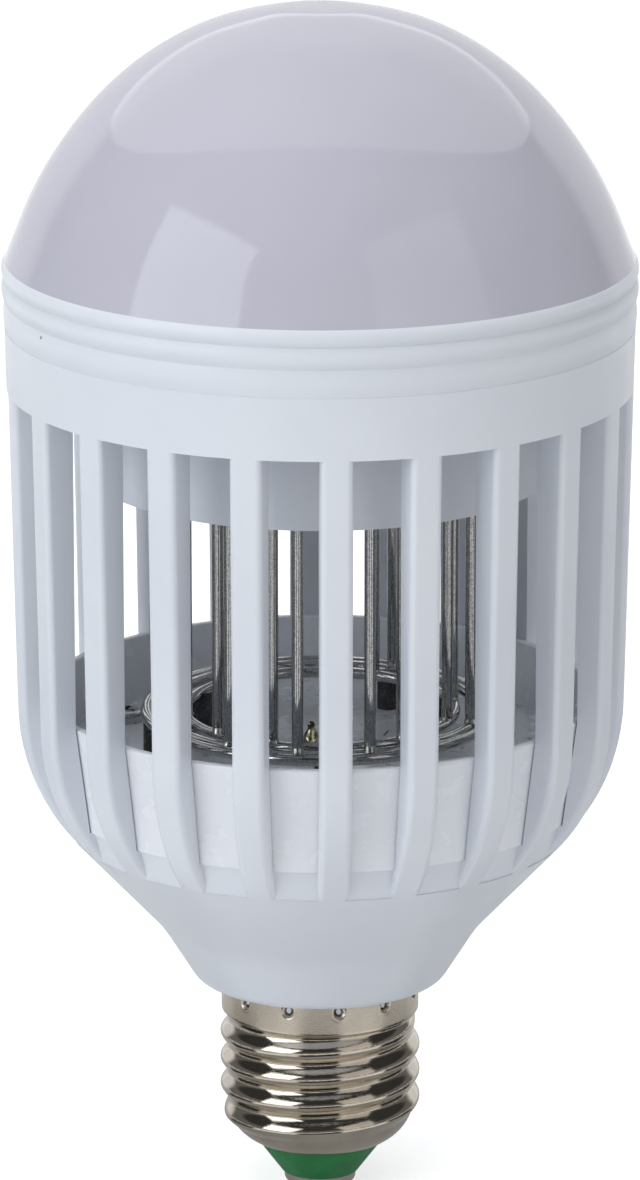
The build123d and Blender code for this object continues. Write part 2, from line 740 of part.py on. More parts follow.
def make_cap_shell():
    """Thin nickel-plated shell with its rolled thread and crimp dimples."""
    rim = Line(at(CAP_RIM_R, CAP_RIM_Z), at(CAP_MOUTH_R, CAP_RIM_Z))
    top = Line(at(CAP_SKIRT_R, NECK_Z), at(CAP_SKIRT_BORE_R, NECK_Z))
    shell = turned([*shell_outline(0), top, *shell_outline(CAP_WALL), rim])
    shell = shell + make_thread()
    ball = Pos(CAP_SKIRT_R + DIMPLE_R - DIMPLE_DEPTH, 0, NECK_Z - DIMPLE_DROP) * Sphere(DIMPLE_R)
    return shell - [Rot(0, 0, a) * ball for a in angles(DIMPLE_COUNT, DIMPLE_PHASE)]


def make_insulator():
    """Green insulator between the shell and the centre contact."""
    bore = CONTACT_PIN_R + PIN_GAP
    plug = CAP_MOUTH_R - PIN_GAP
    return turned_corners(
        [
            (bore, CONTACT_T),
            (INSULATOR_FOOT_R, CONTACT_T),
            (CAP_RIM_R, CAP_RIM_Z),
            (plug, CAP_RIM_Z),
            (plug, INSULATOR_TOP_Z),
            (bore, INSULATOR_TOP_Z),
        ]
    )


def make_contact():
    """Centre contact: a flat rivet head with a pin through the insulator."""
    head = disc(CONTACT_R, 0, CONTACT_T)
    head = fillet(head.edges().group_by(Axis.Z)[0], CONTACT_ARC)
    return head + disc(CONTACT_PIN_R, CONTACT_T, PIN_TOP_Z)


def make_shell_lead():
    """Lead from the foot of the driver board to the inside of the shell."""
    path = FilletPolyline(
        at(SHELL_LEAD_X, NECK_FLOOR_Z),
        at(SHELL_LEAD_X, SHELL_LEAD_Z),
        at(CAP_ROOT_BORE_R - PIN_GAP, SHELL_LEAD_Z),
        radius=LEAD_BEND_R,
    )
    section = Plane(origin=path @ 0, z_dir=path % 0) * Circle(LEAD_R)
    return sweep(section, path=path)


def leads():
    """Fuse resistor and the leads, straight wires between the faces that they join."""
    fuse_top = FUSE_Z + FUSE_LENGTH
    body = fillet(disc(FUSE_R, FUSE_Z, fuse_top).edges().filter_by(GeomType.CIRCLE), FUSE_ARC)
    uv_pair = [pin(LEAD_R, (x, 0), DRIVER_TOP_Z, UV_BOARD_Z) for x in (-UV_LEAD_X, UV_LEAD_X)]
    rows = (-LIGHT_LEAD_Y, LIGHT_LEAD_Y)
    light_pair = [pin(LEAD_R, (LIGHT_LEAD_X, y), GRID_BOARD_TOP_Z, PLATE_TOP_Z) for y in rows]
    return {
        "fuse_resistor": body,
        "fuse_leads": group([disc(LEAD_R, PIN_TOP_Z, FUSE_Z), disc(LEAD_R, fuse_top, NECK_FLOOR_Z)]),
        "shell_lead": make_shell_lead(),
        "uv_leads": group(uv_pair),
        "light_leads": group(light_pair),
    }


def make_nodes():
    """All nodes of the lamp by name."""
    nodes = {
        "diffuser_dome": make_dome(),
        "head_ring": make_head_ring(),
        "light_plate": make_light_plate(),
        "light_board": make_light_board(),
        "light_diodes": make_light_diodes(),
        "light_screws": screw_circle(LIGHT_SCREW_PCD_R, LIGHT_SCREW_COUNT, 0, LIGHT_BOARD_TOP_Z),
        "cage": make_cage(),
        "grid_holder": make_grid_holder(),
        "grid_board": make_grid_board(),
        "outer_ring": wire_ring(OUTER_ROD_R),
        "outer_hoop": wire_ring(HOOP_R),
        "inner_ring": wire_ring(INNER_ROD_R),
        "outer_ring_posts": ring_posts((OUTER_ROD_R + HOOP_R) / 2, OUTER_POST_PHASE, (OUTER_ROD_R, HOOP_R)),
        "inner_ring_posts": ring_posts(INNER_ROD_R, INNER_POST_PHASE, (INNER_ROD_R,)),
        "trap_tray": make_tray(),
        "tray_screws": screw_circle(TRAY_SCREW_PCD_R, TRAY_SCREW_COUNT, TRAY_SCREW_PHASE, TRAY_FLOOR_Z),
        "uv_diode": make_uv_diode(),
        "uv_board": disc(UV_BOARD_R, UV_BOARD_Z, TRAY_UNDER_Z),
        "cap_shell": make_cap_shell(),
        "cap_insulator": make_insulator(),
        "centre_contact": make_contact(),
        "outer_rods": group(outer_pins(WIRE_R, ROD_FOOT_Z, ROD_TOP_Z)),
        "inner_rods": group(inner_pins(WIRE_R, ROD_FOOT_Z, ROD_TOP_Z)),
    }
    nodes.update(driver_parts())
    nodes.update(grid_board_parts())
    nodes.update(leads())
    return nodes


os.makedirs("parts", exist_ok=True)
for node_name, shape in make_nodes().items():
    export_step(shape, f"parts/{node_name}.step")
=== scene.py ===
import math
import random

import bpy
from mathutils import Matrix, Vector


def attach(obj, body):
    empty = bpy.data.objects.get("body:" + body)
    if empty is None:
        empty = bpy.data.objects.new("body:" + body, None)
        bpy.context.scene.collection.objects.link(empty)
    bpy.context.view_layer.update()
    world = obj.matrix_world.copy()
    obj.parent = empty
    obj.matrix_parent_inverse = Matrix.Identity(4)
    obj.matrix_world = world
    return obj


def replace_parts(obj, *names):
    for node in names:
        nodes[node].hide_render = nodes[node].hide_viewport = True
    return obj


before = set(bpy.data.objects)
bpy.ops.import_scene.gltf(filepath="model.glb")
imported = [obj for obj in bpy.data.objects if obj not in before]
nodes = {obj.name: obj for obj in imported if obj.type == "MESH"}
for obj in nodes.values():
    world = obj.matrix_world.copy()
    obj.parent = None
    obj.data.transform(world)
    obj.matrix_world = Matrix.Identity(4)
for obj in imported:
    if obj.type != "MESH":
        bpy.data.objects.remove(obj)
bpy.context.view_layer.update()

# Insect killer light bulb. Metres, +Z up the lamp's axis, the front is -Y.
MM = 0.001

# Camera, fitted to the photograph
CAMERA_PLACE = (0, -0.9088, 0.33662)
CAMERA_PITCH = 74.288
CAMERA_LENS = 222.14
CAMERA_SENSOR = 36.0
CAMERA_CLIP = (0.05, 50)

# Screw cap, as in the CAD source
CAP_TOP_Z = 28.8 * MM
SKIRT_FOOT_Z = 24.4 * MM
ROOT_TOP_Z = 23.7 * MM
HEEL_Z = 9.79 * MM
BEND_Z = 7.32 * MM
RIM_Z = 6.17 * MM
SKIRT_R = 12.98 * MM
ROOT_R = 12.1 * MM
CREST_R = 13.15 * MM
BEND_R = 11.23 * MM
RIM_R = 8.48 * MM
SHELL_WALL = 0.4 * MM
THREAD_PITCH = 3.63 * MM
THREAD_Z = 9.55 * MM
THREAD_TURNS = 3.7
THREAD_PHASE = 135.0
DIMPLES = 12
DIMPLE_PHASE = -78.9
DIMPLE_Z = 27.45 * MM

# Screw cap, finer than in the CAD source
CAP_COLUMNS = 432
SKIRT_ROWS = 22
SKIRT_STEP = 0.13 * MM
THREAD_ROWS = 122
THREAD_FADE = 0.3
THREAD_LEAD_IN = 0.05
THREAD_RUN_OUT = 0.1
CREST_POWER = 0.8
DENT_DEPTH = 0.75 * MM
DENT_R = 0.80 * MM
DENT_TALL = 0.8
DENT_POWER = 0.7
LIP_R = 0.90 * MM
LIP_WIDTH = 0.2 * MM
LIP_HEIGHT = 0.02 * MM

# Grid, as in the CAD source
WIRE_R = 0.75 * MM
RING_Z = 64.75 * MM
OUTER_R = 20.8 * MM
OUTER_COUNT = 14
OUTER_PHASE = -97.9
OUTER_SLIPS = {5: 4.3, 6: 6.0, 9: -4.5}
INNER_R = 17.55 * MM
INNER_COUNT = 12
INNER_PHASE = -80.2
INNER_SLIPS = {1: -3.0, 5: -3.8, 10: 2.0}
INNER_EMPTY = (8,)

# Welds: height and swelling in millimetres, drawn anew for each rod
WELD_SEED = 5
WELD_ROWS = 7
WELD_COLUMNS = 20
WELD_TALL = (0.5, 1.0)
WELD_SWELL = (0.22, 0.42)
WELD_FOOT = 0.35 * MM
WELD_RISE = 0.3 * MM
WELD_INSET = 0.06 * MM
WELD_TAPER = 1.6

# Tray and ultraviolet diode, as in the CAD source; the outline is (radius, height) in millimetres
TRAY_FLOOR_Z = 59.2 * MM
TRAY_INSIDE_R = 33.6 * MM
UV_X = -1.15 * MM
UV_COLUMNS = 40
UV_OUTLINE = (
    (0.02, 63.25),
    (0.30, 63.18),
    (0.47, 62.95),
    (0.50, 62.65),
    (0.42, 62.35),
    (0.48, 62.15),
    (0.72, 61.80),
    (1.02, 61.15),
    (1.28, 60.30),
    (1.42, 59.40),
    (1.48, 58.75),
    (1.85, 58.70),
    (1.88, 58.60),
    (1.88, 57.75),
    (0.02, 57.72),
)

# Marks on the white plastic: x, y, z and radius in millimetres
MARKS = ((-36.0, -19.6, 123.2, 0.25), (-35.0, -20.4, 119.6, 0.3), (9.6, -35.0, 53.0, 0.3))
MARK_COLOUR = (0.22, 0.20, 0.18)

# Scratches on the tray's floor: x, y and length in millimetres, turn in degrees
SCRATCHES = (
    (8.7, 7.9, 3.8, 75),
    (-15.1, 15.2, 1.8, 30),
    (-14.4, 14.0, 1.2, -40),
    (17.3, -0.4, 1.6, 15),
    (18.6, 1.2, 1.2, 60),
    (16.6, 2.4, 1.0, -30),
)
SCRATCH_WIDTH = 0.3 * MM
SCRATCH_COLOUR = (0.02, 0.02, 0.02)

# The part of a noise's values that nearly all of it lies in
NOISE_LOW = 0.3
NOISE_HIGH = 0.7

# Painted reflection that glossy rays see on the floor near the lamp: dark and white bands by their side
# (share of a half turn from the front) and by their distance (share of NEAR_R)
NEAR_R = 0.60
NEAR_FADE = 0.6
REFLECTION_SIDE_STOPS = ((0.0, 0.03), (0.113, 0.03), (0.13, 1.0), (0.39, 1.0), (0.42, 0.05), (0.62, 0.05), (0.66, 0.5))
RING_STOPS = ((0.0, 0.0), (0.047, 0.0), (0.055, 1.0), (0.117, 1.0), (0.130, 0.0))
PLAIN_STOPS = ((0.0, 0.30), (0.045, 0.34), (0.13, 0.68), (1.0, 0.72))
FAR_STOPS = ((0.0, 1.0), (0.25, 1.0), (0.36, 0.12), (0.70, 0.12), (0.75, 0.80))
AWAY_STOPS = ((0.0, 0.0), (0.21, 0.0), (0.26, 1.0))

# Floor, backdrop and light
BACKDROP_COLOUR = (0.80, 0.80, 0.80)
FLOOR_COLOUR = (0.87, 0.87, 0.87)
STAGE_GLOW = 0.62
FLOOR_R = 5.0
FLOOR_SIDES = 64
WALL_R = 3.2
WALL_TOP = 1.35
WALL_ANGLES = range(45, 136, 5)
LAMP_MIDDLE_Z = 0.09
CEILING_PLACE = (0, 2.2, 1.3)
CEILING_TURN = (1, 0, 0, 0)
ROOM_COLOUR = (0.91, 0.96, 1.0)
ROOM_STRENGTH = 0.39


# Material tools


class Look:
    """A Principled material with its patterns laid out in the part's own coordinates."""

    def __init__(self, name, colour, roughness=0.4, metallic=0.0):
        self.mat = bpy.data.materials.new(name)
        self.mat.use_nodes = True
        self.tree = self.mat.node_tree
        self.bsdf = self.tree.nodes["Principled BSDF"]
        self.place = self.add("ShaderNodeTexCoord").outputs["Object"]
        self.bsdf.inputs["Base Color"].default_value = (*colour, 1)
        self.bsdf.inputs["Roughness"].default_value = roughness
        self.bsdf.inputs["Metallic"].default_value = metallic

    def add(self, kind, **settings):
        node = self.tree.nodes.new(kind)
        for key, value in settings.items():
            setattr(node, key, value)
        return node

    def link(self, output, target):
        if isinstance(output, (int, float)):
            target.default_value = output
        elif isinstance(output, tuple):
            target.default_value = (*output, 1)
        else:
            self.tree.links.new(output, target)

    def noise(self, size, detail=2.0, stretch=(1, 1, 1), shift=0.0):
        """Noise with features of a size in metres, drawn out along an axis by stretch."""
        mapping = self.add("ShaderNodeMapping")
        self.link(self.place, mapping.inputs["Vector"])
        mapping.inputs["Scale"].default_value = [1 / s for s in stretch]
        mapping.inputs["Location"].default_value = (shift, shift, shift)
        noise = self.add("ShaderNodeTexNoise")
        self.link(mapping.outputs["Vector"], noise.inputs["Vector"])
        noise.inputs["Scale"].default_value = 1 / size
        noise.inputs["Detail"].default_value = detail
        return noise.outputs["Fac"]

    def remap(self, value, low, high, to_low=0.0, to_high=1.0):
        node = self.add("ShaderNodeMapRange", interpolation_type="SMOOTHSTEP")
        self.link(value, node.inputs["Value"])
        node.inputs["From Min"].default_value = low
        node.inputs["From Max"].default_value = high
        node.inputs["To Min"].default_value = to_low
        node.inputs["To Max"].default_value = to_high
        return node.outputs["Result"]

    def spread(self, noise, to_low=0.0, to_high=1.0):
        """A noise drawn out from one value to another."""
        return self.remap(noise, NOISE_LOW, NOISE_HIGH, to_low, to_high)

    def math(self, operation, a, b=0.0):
        node = self.add("ShaderNodeMath", operation=operation)
        self.link(a, node.inputs[0])
        self.link(b, node.inputs[1])
        return node.outputs["Value"]

    def mix(self, share, a, b):
        node = self.add("ShaderNodeMix", data_type="RGBA")
        self.link(share, node.inputs["Factor"])
        self.link(a, node.inputs[6])
        self.link(b, node.inputs[7])
        return node.outputs[2]

    def flat_length(self, vector):
        """The length of a vector seen from above."""
        flat = self.add("ShaderNodeVectorMath", operation="MULTIPLY")
        self.link(vector, flat.inputs[0])
        flat.inputs[1].default_value = (1, 1, 0)
        node = self.add("ShaderNodeVectorMath", operation="LENGTH")
        self.link(flat.outputs["Vector"], node.inputs[0])
        return node.outputs["Value"]

    def level(self):
        """The height along the lamp's axis."""
        node = self.add("ShaderNodeSeparateXYZ")
        self.link(self.place, node.inputs["Vector"])
        return node.outputs["Z"]

    def radius(self):
        """The distance from the lamp's axis."""
        return self.flat_length(self.place)

    def spot(self, centre, radius, soft=0.5):
        """Share of a small round mark at a point, 1 in its middle."""
        node = self.add("ShaderNodeVectorMath", operation="DISTANCE")
        self.link(self.place, node.inputs[0])
        node.inputs[1].default_value = centre
        return self.remap(node.outputs["Value"], radius, radius * (1 - soft))

    def stroke(self, centre, length, width, turn):
        """Share of a thin level mark of a length, turned round the upright."""
        mapping = self.add("ShaderNodeMapping", vector_type="TEXTURE")
        self.link(self.place, mapping.inputs["Vector"])
        mapping.inputs["Location"].default_value = centre
        mapping.inputs["Rotation"].default_value = (0, 0, math.radians(turn))
        mapping.inputs["Scale"].default_value = (length / 2, width / 2, 1)
        return self.remap(self.flat_length(mapping.outputs["Vector"]), 1.0, 0.6)

    def colour(self, value):
        self.link(value, self.bsdf.inputs["Base Color"])
        return self

    def rough(self, value):
        self.link(value, self.bsdf.inputs["Roughness"])
        return self

    def bump(self, height, distance):
        node = self.add("ShaderNodeBump")
        node.inputs["Strength"].default_value = 1.0
        node.inputs["Distance"].default_value = distance
        self.link(height, node.inputs["Height"])
        self.link(node.outputs["Normal"], self.bsdf.inputs["Normal"])
        return self


def mottled(name, dark, pale, size, roughness=(0.35, 0.45)):
    """Plain matt or glossy surface with a faint cloudy tone and a fine skin."""
    look = Look(name, pale, roughness[0])
    cloud = look.noise(size, 3.0)
    look.colour(look.mix(look.spread(cloud), dark, pale))
    look.rough(look.spread(look.noise(size / 3, 2.0, shift=0.3), *roughness))
    return look.bump(look.noise(0.0006, 2.0), 0.00001)


def polar(radius, angle):
    return radius * math.cos(math.radians(angle)), radius * math.sin(math.radians(angle))


# Materials

white = Look("white_plastic", (0.71, 0.735, 0.79), 0.36)
tone = white.spread(white.noise(0.03, 3.0))
skin = white.mix(tone, (0.69, 0.715, 0.775), (0.73, 0.755, 0.805))
for x, y, z, r in MARKS:
    skin = white.mix(white.spot((x * MM, y * MM, z * MM), r * MM), skin, MARK_COLOUR)
white.colour(skin)
white.rough(white.spread(white.noise(0.006, 2.0, shift=0.2), 0.30, 0.42))
white.bump(white.noise(0.0008, 2.0), 0.000012)

milky = Look("milky_plastic", (0.50, 0.485, 0.56), 0.07)
cloud = milky.spread(milky.noise(0.025, 4.0))
milky.colour(milky.mix(cloud, (0.49, 0.477, 0.555), (0.51, 0.497, 0.572)))
milky.rough(milky.spread(milky.noise(0.004, 2.0), 0.05, 0.09))
milky.bump(milky.noise(0.006, 2.0), 0.000012)

# The tray is pale, and its floor is greyer, dusty and scratched
tray = Look("tray_plastic", (0.80, 0.82, 0.86), 0.25)
cloud = tray.spread(tray.noise(0.02, 4.0))
body = tray.mix(cloud, (0.79, 0.805, 0.85), (0.82, 0.835, 0.88))
low = tray.remap(tray.level(), TRAY_FLOOR_Z + 0.5 * MM, TRAY_FLOOR_Z + 0.15 * MM)
inside = tray.remap(tray.radius(), TRAY_INSIDE_R, TRAY_INSIDE_R - 0.4 * MM)
ground = tray.math("MULTIPLY", low, inside)
body = tray.mix(ground, body, (0.74, 0.77, 0.80))
dust = tray.remap(tray.noise(0.0022, 5.0, shift=0.7), 0.60, 0.72, 0.0, 0.5)
body = tray.mix(tray.math("MULTIPLY", dust, ground), body, (0.14, 0.125, 0.12))
for x, y, length, turn in SCRATCHES:
    mark = tray.stroke((x * MM, y * MM, TRAY_FLOOR_Z), length * MM, SCRATCH_WIDTH, turn)
    body = tray.mix(tray.math("MULTIPLY", mark, ground), body, SCRATCH_COLOUR)
tray.colour(body)
tray.rough(tray.spread(tray.noise(0.003, 3.0), 0.16, 0.30))
tray.bump(tray.noise(0.0007, 3.0), 0.00001)

# The cap is brushed and rougher on its skirt, with painted shade darkening each dent
nickel = Look("nickel", (0.55, 0.50, 0.425), 0.2, 1.0)
streak = nickel.noise(0.0006, 3.0, stretch=(1, 1, 0.12))
band = nickel.remap(nickel.level(), 23.6 * MM, 24.6 * MM)
cloud = nickel.spread(nickel.noise(0.004, 3.0))
tone_and_dent_shade = nickel.mix(cloud, (0.52, 0.47, 0.40), (0.60, 0.545, 0.465))
# A near-black spot in each crimp dent is painted shade in its hollow
for i in range(DIMPLES):
    foot = (*polar(SKIRT_R - 0.35 * MM, DIMPLE_PHASE + 360.0 * i / DIMPLES), DIMPLE_Z - 0.1 * MM)
    tone_and_dent_shade = nickel.mix(nickel.spot(foot, 0.75 * MM, 0.4), tone_and_dent_shade, (0.10, 0.09, 0.08))
nickel.colour(tone_and_dent_shade)
shine = nickel.spread(streak, 0.06, 0.12)
nickel.rough(nickel.math("ADD", shine, nickel.math("MULTIPLY", band, 0.16)))
nickel.bump(streak, 0.000006)

wire = Look("grid_wire", (0.42, 0.42, 0.415), 0.12, 1.0)
drawn = wire.noise(0.00022, 2.0, stretch=(1, 1, 6))
speck = wire.remap(wire.noise(0.00020, 3.0, shift=0.4), 0.40, 0.60)
wire.colour(wire.mix(speck, (0.36, 0.365, 0.37), (0.57, 0.565, 0.55)))
wire.rough(wire.spread(drawn, 0.06, 0.14))
wire.bump(drawn, 0.000006)

solder = Look("solder_tin", (0.55, 0.53, 0.50), 0.3, 1.0)
solder.rough(solder.spread(solder.noise(0.0008, 4.0), 0.22, 0.42))
solder.bump(solder.noise(0.0012, 3.0), 0.00006)

steel = Look("screw_steel", (0.50, 0.50, 0.50), 0.25, 1.0)
steel.rough(steel.spread(steel.noise(0.0006, 3.0), 0.18, 0.36))
steel.bump(steel.noise(0.0005, 2.0), 0.00001)

# The lens's cream blotches are painted highlights and its near-black blotches painted dark reflections of a
# clear bell
lens = Look("diode_lens", (0.40, 0.38, 0.22), 0.06, 0.85)
cloud = lens.remap(lens.noise(0.0008, 2.0), 0.4, 0.6)
lens.colour(lens.mix(cloud, (0.10, 0.095, 0.045), (0.88, 0.85, 0.62)))

aluminium = Look("aluminium", (0.62, 0.63, 0.64), 0.35, 1.0)
aluminium.rough(aluminium.spread(aluminium.noise(0.0006, 3.0, stretch=(6, 1, 1)), 0.3, 0.5))

tinned = Look("tinned_wire", (0.60, 0.60, 0.60), 0.3, 1.0)
tinned.rough(tinned.spread(tinned.noise(0.0008, 3.0), 0.22, 0.4))

# Plain materials: darker and paler tone, size of the clouds in metres, and the roughness
PLAIN_LOOKS = {
    "green_insulator": ((0.006, 0.165, 0.041), (0.010, 0.215, 0.056), 0.003, (0.42, 0.52)),
    "brown_insulator": ((0.030, 0.028, 0.030), (0.062, 0.056, 0.058), 0.0012, (0.15, 0.3)),
    "white_board": ((0.66, 0.66, 0.64), (0.74, 0.74, 0.72), 0.004),
    "diode_phosphor": ((0.70, 0.55, 0.12), (0.82, 0.66, 0.18), 0.001),
    "green_board": ((0.02, 0.12, 0.04), (0.03, 0.17, 0.06), 0.004),
    "lead_sleeve": ((0.60, 0.60, 0.58), (0.72, 0.72, 0.70), 0.003),
    "fuse_ceramic": ((0.10, 0.22, 0.30), (0.14, 0.28, 0.37), 0.002),
    "ferrite": ((0.03, 0.03, 0.032), (0.055, 0.055, 0.058), 0.002, (0.45, 0.6)),
    "winding_tape": ((0.55, 0.42, 0.08), (0.66, 0.52, 0.12), 0.004, (0.25, 0.4)),
    "capacitor_sleeve": ((0.015, 0.02, 0.05), (0.03, 0.035, 0.08), 0.004),
    "film_case": ((0.35, 0.05, 0.03), (0.45, 0.08, 0.05), 0.003),
    "chip_case": ((0.015, 0.015, 0.016), (0.03, 0.03, 0.03), 0.001, (0.5, 0.6)),
}

looks = {
    "white_plastic": white,
    "milky_plastic": milky,
    "tray_plastic": tray,
    "nickel": nickel,
    "grid_wire": wire,
    "solder_tin": solder,
    "screw_steel": steel,
    "diode_lens": lens,
    "aluminium": aluminium,
    "tinned_wire": tinned,
}
for name, values in PLAIN_LOOKS.items():
    looks[name] = mottled(name, *values)

for node in nodes.values():
    materials = node.data.materials
    slot_name = materials[0].name.split(".")[0]
    materials.clear()
    materials.append(looks[slot_name].mat)


# Mesh tools


def smoothstep(low, high, x):
    t = min(max((x - low) / (high - low), 0.0), 1.0)
    return t * t * (3 - 2 * t)


def piece(name, points, faces, slot_name):
    """New mesh piece that rides on the body, smooth and in its slot's material."""
    mesh = bpy.data.meshes.new(name)
    mesh.from_pydata(points, [], faces)
    mesh.validate()
    mesh.polygons.foreach_set("use_smooth", [True] * len(mesh.polygons))
    obj = bpy.data.objects.new(name, mesh)
    bpy.context.scene.collection.objects.link(obj)
    mesh.materials.append(looks[slot_name].mat)
    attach(obj, "root")
    return obj


def wrapped(rows, columns, closed=True):
    """Faces of a grid of rows and columns that wraps round, both ways if closed."""
    faces = []
    for i in range(rows if closed else rows - 1):
        for j in range(columns):
            a = i * columns + j
            b = i * columns + (j + 1) % columns
            c = ((i + 1) % rows) * columns + (j + 1) % columns
            d = ((i + 1) % rows) * columns + j
            faces.append((a, b, c, d))
    return faces


# Screw cap with its rolled thread and crimp dents


def heel_r(z):
    """Radius of the curve from the rim to the first thread, at a level."""
    a = RIM_Z - 2 * BEND_Z + HEEL_Z
    b = BEND_Z - RIM_Z
    s = (math.sqrt(max(b * b + a * (z - RIM_Z), 0.0)) - b) / a
    return RIM_R * (1 - s) ** 2 + 2 * BEND_R * s * (1 - s) + ROOT_R * s * s


def shell_r(z, turn):
    """Outer radius of the cap at a level and a share of a turn."""
    if z >= SKIRT_FOOT_Z:
        return SKIRT_R
    along = (z - THREAD_Z) / THREAD_PITCH - turn
    ridge = round(along)
    place = ridge + turn
    swell = smoothstep(-THREAD_LEAD_IN, THREAD_FADE, place)
    swell *= smoothstep(THREAD_TURNS + THREAD_RUN_OUT, THREAD_TURNS - THREAD_FADE, place)
    wave = (0.5 + 0.5 * math.cos(2 * math.pi * (along - ridge))) ** CREST_POWER
    crest = (CREST_R - ROOT_R) * wave * swell
    if z < HEEL_Z:
        base = heel_r(z)
        return max(base, min(base + crest, CREST_R))
    base = ROOT_R + (SKIRT_R - ROOT_R) * smoothstep(ROOT_TOP_Z - 0.3 * MM, SKIRT_FOOT_Z, z)
    return max(base, ROOT_R + crest)


def dent_depth(angle, z):
    """What the nearest crimp dent adds to the skirt's radius: a hollow with a faint lip."""
    step = 360.0 / DIMPLES
    off = (angle - DIMPLE_PHASE + step / 2) % step - step / 2
    across = math.radians(off) * SKIRT_R
    away = math.hypot(across, (z - DIMPLE_Z) * DENT_TALL)
    dent = max(0.0, 1 - away / DENT_R) ** DENT_POWER
    lip = math.exp(-(((away - LIP_R) / LIP_WIDTH) ** 2))
    return LIP_HEIGHT * lip - DENT_DEPTH * dent


def make_cap():
    levels = [CAP_TOP_Z - SKIRT_STEP * i for i in range(SKIRT_ROWS)]
    bottom = levels[-1]
    levels += [bottom + (RIM_Z - bottom) * (i + 1) / THREAD_ROWS for i in range(THREAD_ROWS)]
    points = []
    for z in levels:
        for j in range(CAP_COLUMNS):
            angle = 360.0 * j / CAP_COLUMNS
            turn = ((angle - THREAD_PHASE) % 360.0) / 360.0
            r = shell_r(z, turn)
            if z > SKIRT_FOOT_Z:
                r += dent_depth(angle, z)
            points.append((*polar(r, angle), z))
    inner = (
        (RIM_R - SHELL_WALL, RIM_Z),
        (BEND_R - 2.2 * SHELL_WALL, BEND_Z + 1.3 * SHELL_WALL),
        (ROOT_R - SHELL_WALL, HEEL_Z + 1 * MM),
        (ROOT_R - SHELL_WALL, ROOT_TOP_Z),
        (SKIRT_R - 2 * SHELL_WALL, SKIRT_FOOT_Z + 0.5 * MM),
        (SKIRT_R - 2 * SHELL_WALL, CAP_TOP_Z),
    )
    for r, z in inner:
        points += [(*polar(r, 360.0 * j / CAP_COLUMNS), z) for j in range(CAP_COLUMNS)]
    return piece("screw_shell", points, wrapped(len(levels) + len(inner), CAP_COLUMNS), "nickel")


cap = make_cap()
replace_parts(cap, "cap_shell")


# Welds where the rods stand on the rings


def weld_points(x, y, tall, swell, lean):
    """Rows of points up a rod's foot, swollen below and more so to one side."""
    points = []
    for k in range(WELD_ROWS):
        t = k / (WELD_ROWS - 1)
        z = RING_Z + WELD_FOOT + (tall + WELD_RISE) * t
        for j in range(WELD_COLUMNS):
            a = 2 * math.pi * j / WELD_COLUMNS
            uneven = 1 + 0.45 * math.cos(a - lean) + 0.2 * math.cos(3 * a + lean)
            bulge = swell * (1 - t) ** WELD_TAPER * uneven
            r = WIRE_R - WELD_INSET + max(bulge, 0)
            points.append((x + r * math.cos(a), y + r * math.sin(a), z))
    return points


def make_welds():
    rng = random.Random(WELD_SEED)
    points, faces = [], []
    circles = (
        (OUTER_COUNT, OUTER_R, OUTER_PHASE, OUTER_SLIPS, ()),
        (INNER_COUNT, INNER_R, INNER_PHASE, INNER_SLIPS, INNER_EMPTY),
    )
    for count, radius, phase, slips, empty in circles:
        for i in [k for k in range(count) if k not in empty]:
            x, y = polar(radius, phase + 360.0 * i / count + slips.get(i, 0))
            tall = rng.uniform(*WELD_TALL) * MM
            swell = rng.uniform(*WELD_SWELL) * MM
            lean = rng.uniform(0, 2 * math.pi)
            start = len(points)
            points += weld_points(x, y, tall, swell, lean)
            for face in wrapped(WELD_ROWS, WELD_COLUMNS, closed=False):
                faces.append(tuple(start + v for v in face))
            last = start + (WELD_ROWS - 1) * WELD_COLUMNS
            faces.append(tuple(start + j for j in reversed(range(WELD_COLUMNS))))
            faces.append(tuple(last + j for j in range(WELD_COLUMNS)))
    return piece("grid_welds", points, faces, "grid_wire")


make_welds()


# Ultraviolet diode with its bell-shaped lens


def make_lens():
    points = []
    for r, z in UV_OUTLINE:
        for j in range(UV_COLUMNS):
            x, y = polar(r * MM, 360.0 * j / UV_COLUMNS)
            points.append((x + UV_X, y, z * MM))
    faces = [tuple(reversed(face)) for face in wrapped(len(UV_OUTLINE), UV_COLUMNS, closed=False)]
    faces.append(tuple(range(UV_COLUMNS)))
    last = (len(UV_OUTLINE) - 1) * UV_COLUMNS
    faces.append(tuple(last + j for j in reversed(range(UV_COLUMNS))))
    return piece("diode_bell", points, faces, "diode_lens")


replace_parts(make_lens(), "uv_diode")


# Stage tools


def reckon(tree, operation, *terms):
    """A sum of one kind; each term is a number or another node's output."""
    node = tree.nodes.new("ShaderNodeMath")
    node.operation = operation
    for socket, term in zip(node.inputs, terms):
        if isinstance(term, (int, float)):
            socket.default_value = term
        else:
            tree.links.new(term, socket)
    return node.outputs[0]


def fade(tree, value, low, high, to_low=0.0, to_high=1.0):
    """A value drawn evenly from one range into another."""
    node = tree.nodes.new("ShaderNodeMapRange")
    node.inputs["From Min"].default_value = low
    node.inputs["From Max"].default_value = high
    node.inputs["To Min"].default_value = to_low
    node.inputs["To Max"].default_value = to_high
    tree.links.new(value, node.inputs["Value"])
    return node.outputs[0]


def ramp(tree, share, stops):
    """Grey that goes through the stops: place and value."""
    node = tree.nodes.new("ShaderNodeValToRGB")
    while len(node.color_ramp.elements) < len(stops):
        node.color_ramp.elements.new(0.5)
    for element, (place, value) in zip(node.color_ramp.elements, stops):
        element.position = place
        element.color = (value, value, value, 1)
    tree.links.new(share, node.inputs["Fac"])
    return node.outputs["Color"]


def blend(tree, share, a, b):
    node = tree.nodes.new("ShaderNodeMix")
    tree.links.new(share, node.inputs["Factor"])
    tree.links.new(a, node.inputs["A"])
    tree.links.new(b, node.inputs["B"])
    return node.outputs["Result"]


def choose(tree, share, a, b):
    """One surface or background or the other."""
    node = tree.nodes.new("ShaderNodeMixShader")
    tree.links.new(share, node.inputs["Fac"])
    tree.links.new(a, node.inputs[1])
    tree.links.new(b, node.inputs[2])
    return node.outputs[0]


